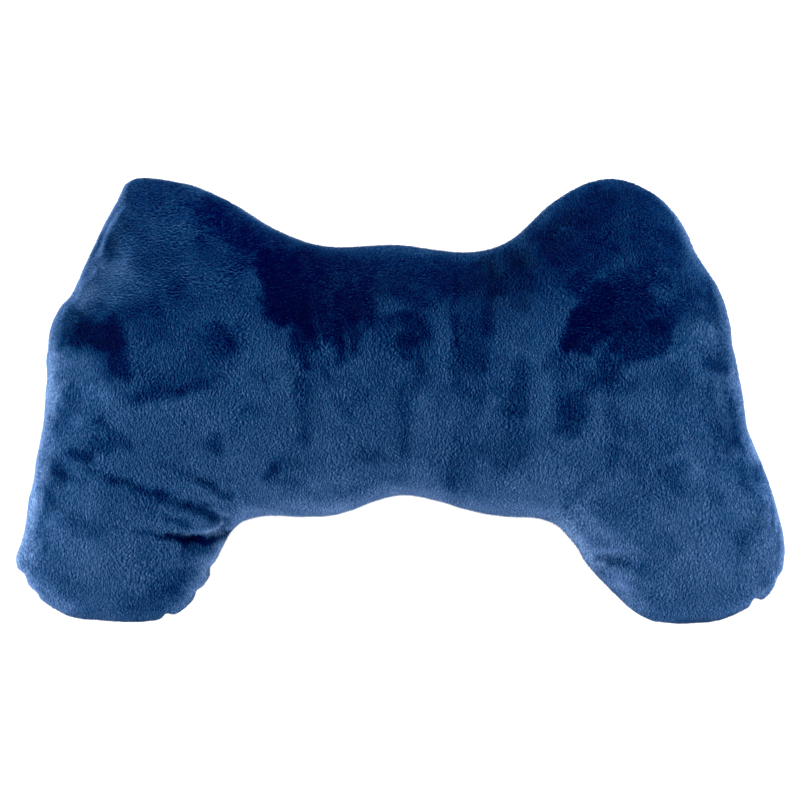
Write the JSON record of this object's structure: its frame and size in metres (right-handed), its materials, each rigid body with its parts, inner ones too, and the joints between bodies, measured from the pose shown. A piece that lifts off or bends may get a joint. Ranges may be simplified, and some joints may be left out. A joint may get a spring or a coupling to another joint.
{
  "type": "game controller cushion",
  "caption": "Filled blue plush cushion in the outline of a game controller, with a crowned front, a back that is flat where it rests, and two short grips.",
  "frame": {"origin": "on the surface that the cushion lies on, under the middle of its outline's box", "axes": "+X to the front's right, along the cushion's length; +Y up the front, from the grips to the shoulders; +Z out of the front, which faces up"},
  "size_m": [0.4608, 0.2666, 0.1048],
  "materials": {
    "plush": "matte"
  },
  "bodies": {
    "root": {"cushion": "plush"}
  },
  "joints": []
}
